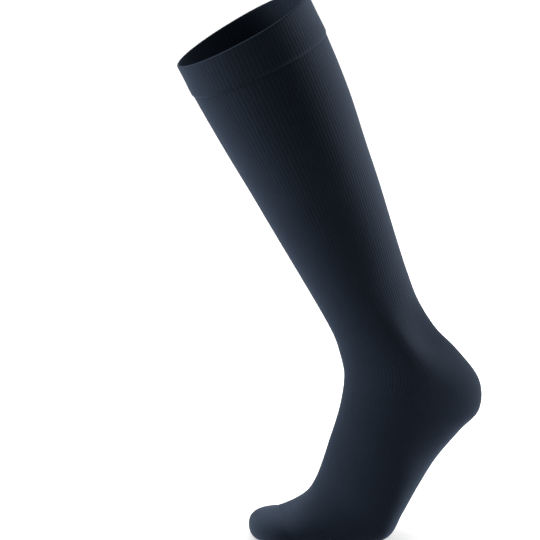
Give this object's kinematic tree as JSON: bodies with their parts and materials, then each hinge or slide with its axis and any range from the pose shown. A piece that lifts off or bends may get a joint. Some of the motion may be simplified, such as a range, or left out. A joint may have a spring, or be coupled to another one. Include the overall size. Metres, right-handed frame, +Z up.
{
  "type": "compression stocking",
  "caption": "Knee-high navy compression stocking with ribbed leg, doubled welt and plain heel, sole and toe, filled out as if worn and standing on its toes with the heel raised.",
  "frame": {"origin": "centre of the top opening, on the leg's axis, where the wearer's leg holds the stocking up", "axes": "+Z up, -X towards the toes, +X towards the heel, Y across, with Y = 0 the mirror plane"},
  "size_m": [0.2556, 0.1138, 0.4631],
  "materials": {
    "ribbed_knit": "fine ribbed elastic knit, matt with a soft sheen",
    "plain_knit": "fine plain elastic knit, matt with a soft sheen"
  },
  "bodies": {
    "root": {"welt": "ribbed_knit", "leg": "ribbed_knit", "heel": "plain_knit", "foot": "plain_knit", "toe": "plain_knit"}
  },
  "joints": []
}
